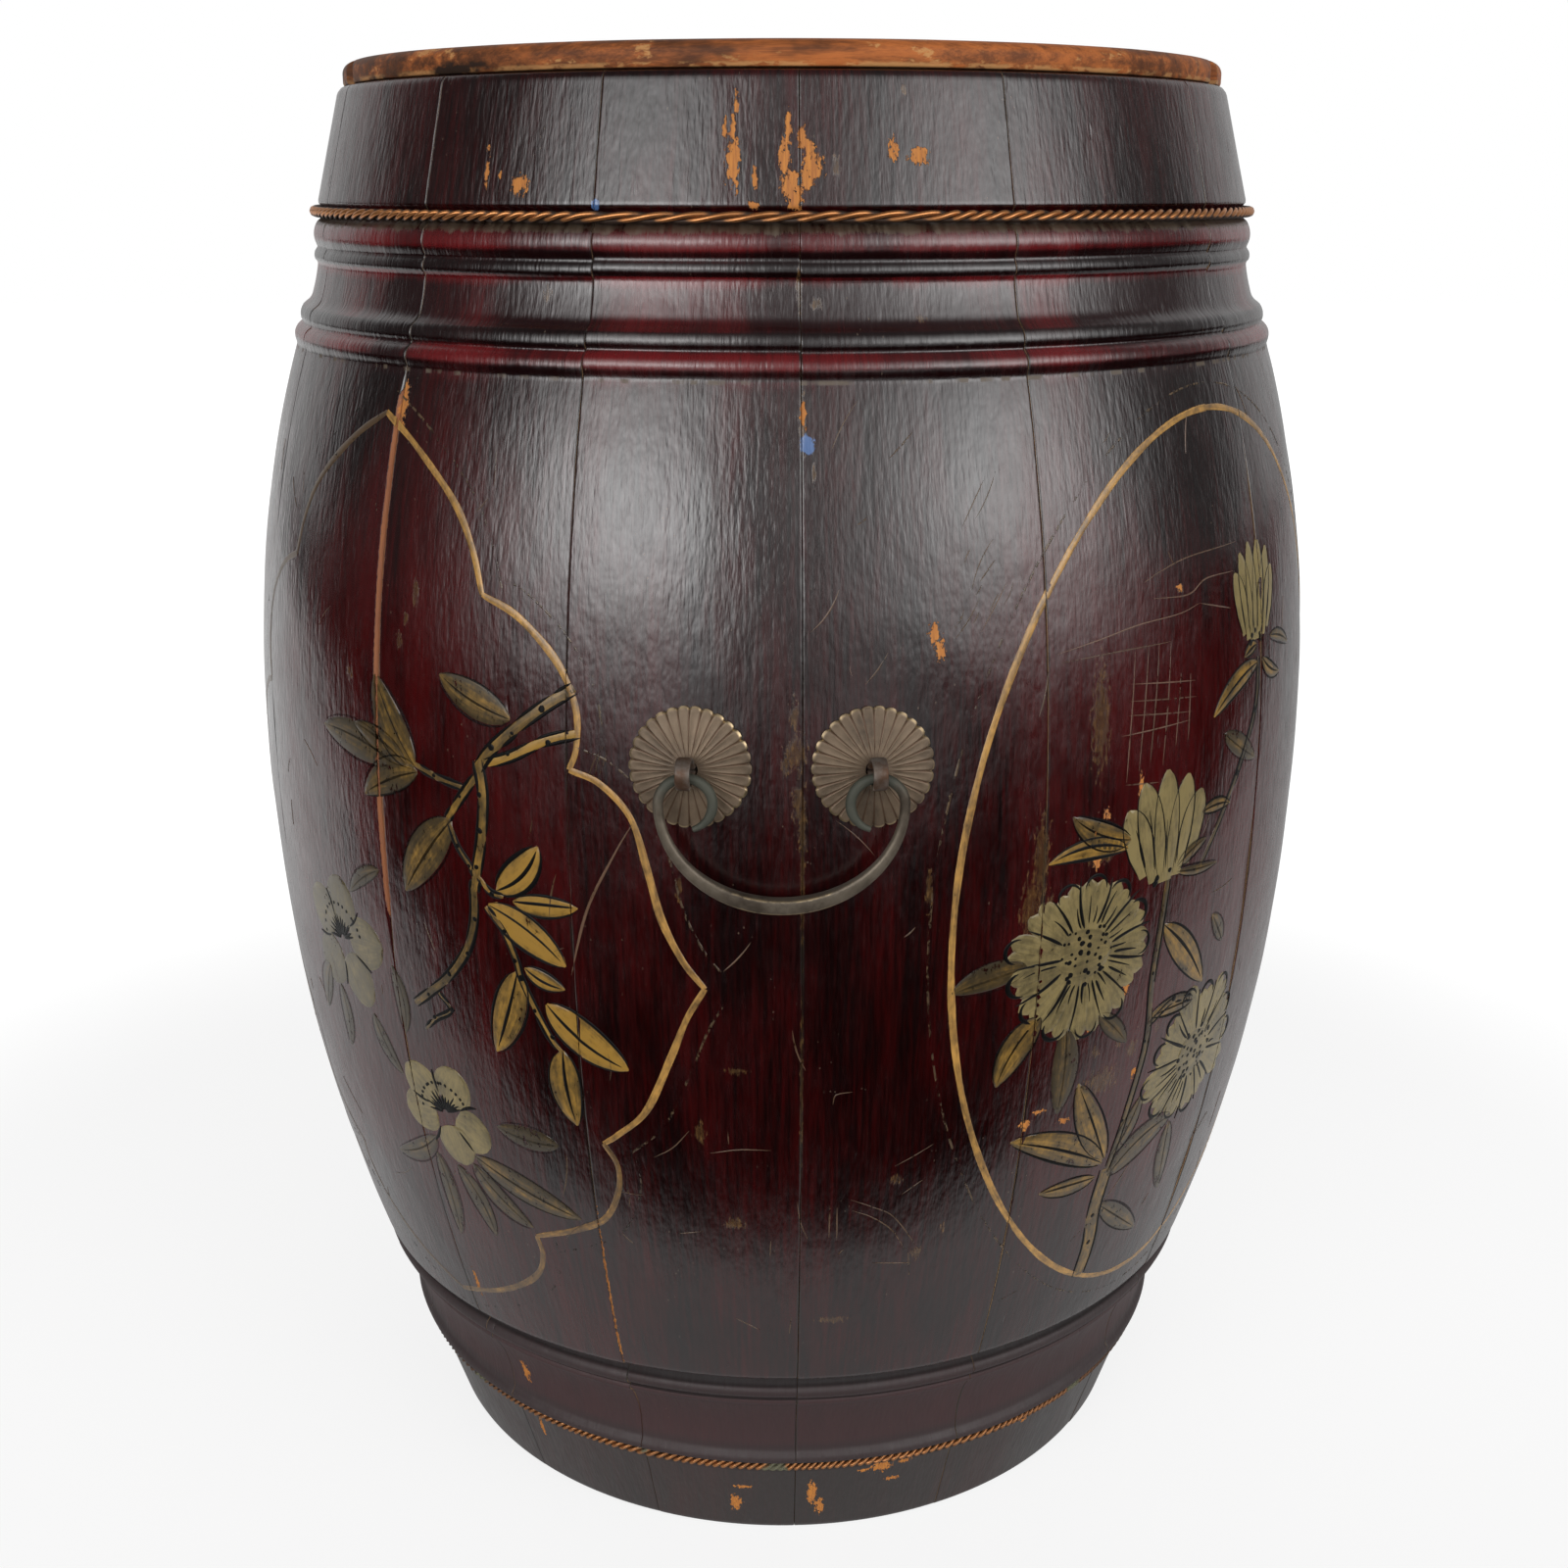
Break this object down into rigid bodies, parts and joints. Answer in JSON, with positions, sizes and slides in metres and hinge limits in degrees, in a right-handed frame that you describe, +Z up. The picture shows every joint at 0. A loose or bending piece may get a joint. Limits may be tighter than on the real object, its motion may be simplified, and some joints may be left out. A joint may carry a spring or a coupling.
{
  "type": "rice barrel",
  "caption": "Bulging lacquered stave barrel for rice, with moulded collar and foot, wire hoops, lift-off boarded lid, scrolled bail handles and gilt painted panels.",
  "frame": {"origin": "on the ground, on the barrel's axis, under the middle of its box", "axes": "+Z up along the barrel's axis, -Y out of the front handle, +X to the right seen from the front"},
  "size_m": [0.45, 0.4724, 0.5849],
  "materials": {
    "lacquered_wood": "dark wine-red lacquer, semi-gloss, worn to bare wood in chips, with gold painted panels",
    "bare_wood": "worn orange-brown bare wood",
    "inner_wood": "unfinished softwood",
    "bamboo": "split bamboo, unfinished",
    "copper_wire": "dull twisted copper wire",
    "rosette_bronze": "brown aged brass sheet, stamped",
    "handle_bronze": "dark aged forged brass",
    "pin_iron": "worn dark iron strip"
  },
  "bodies": {
    "barrel": {"stave_01": "lacquered_wood", "stave_02": "lacquered_wood", "stave_03": "lacquered_wood", "stave_04": "lacquered_wood", "stave_05": "lacquered_wood", "stave_06": "lacquered_wood", "stave_07": "lacquered_wood", "stave_08": "lacquered_wood", "stave_09": "lacquered_wood", "stave_10": "lacquered_wood", "stave_11": "lacquered_wood", "stave_12": "lacquered_wood", "stave_13": "lacquered_wood", "stave_14": "lacquered_wood", "stave_15": "lacquered_wood", "stave_16": "lacquered_wood", "stave_pin_01": "bamboo", "stave_pin_02": "bamboo", "stave_pin_03": "bamboo", "stave_pin_04": "bamboo", "stave_pin_05": "bamboo", "stave_pin_06": "bamboo", "stave_pin_07": "bamboo", "stave_pin_08": "bamboo", "stave_pin_09": "bamboo", "stave_pin_10": "bamboo", "stave_pin_11": "bamboo", "stave_pin_12": "bamboo", "stave_pin_13": "bamboo", "stave_pin_14": "bamboo", "stave_pin_15": "bamboo", "stave_pin_16": "bamboo", "lower_hoop": "copper_wire", "upper_hoop": "copper_wire", "floor_board_left": "inner_wood", "floor_board_middle": "inner_wood", "floor_board_right": "inner_wood", "front_rosette_left": "rosette_bronze", "front_rosette_right": "rosette_bronze", "rear_rosette_left": "rosette_bronze", "rear_rosette_right": "rosette_bronze", "front_split_pin_left": "pin_iron", "front_split_pin_right": "pin_iron", "rear_split_pin_left": "pin_iron", "rear_split_pin_right": "pin_iron"},
    "lid": {"lid_board_front": "bare_wood", "lid_board_middle": "bare_wood", "lid_board_rear": "bare_wood", "lid_batten_left": "inner_wood", "lid_batten_right": "inner_wood", "lid_nail_01": "bamboo", "lid_nail_02": "bamboo", "lid_nail_03": "bamboo", "lid_nail_04": "bamboo", "lid_nail_05": "bamboo", "lid_nail_06": "bamboo"},
    "front_handle": {"front_bail": "handle_bronze"},
    "rear_handle": {"rear_bail": "handle_bronze"}
  },
  "joints": [
    {"name": "lid_lift", "type": "slide", "parent": "barrel", "child": "lid", "axis": [0, 0, 1], "range_m": [0, 0.3]},
    {"name": "front_handle_swing", "type": "hinge", "parent": "barrel", "child": "front_handle", "pos_m": [0, -0.23032, 0.35604], "axis": [-1, 0, 0], "range_deg": [-2, 170]},
    {"name": "rear_handle_swing", "type": "hinge", "parent": "barrel", "child": "rear_handle", "pos_m": [0, 0.23032, 0.35604], "axis": [1, 0, 0], "range_deg": [-2, 170]}
  ]
}
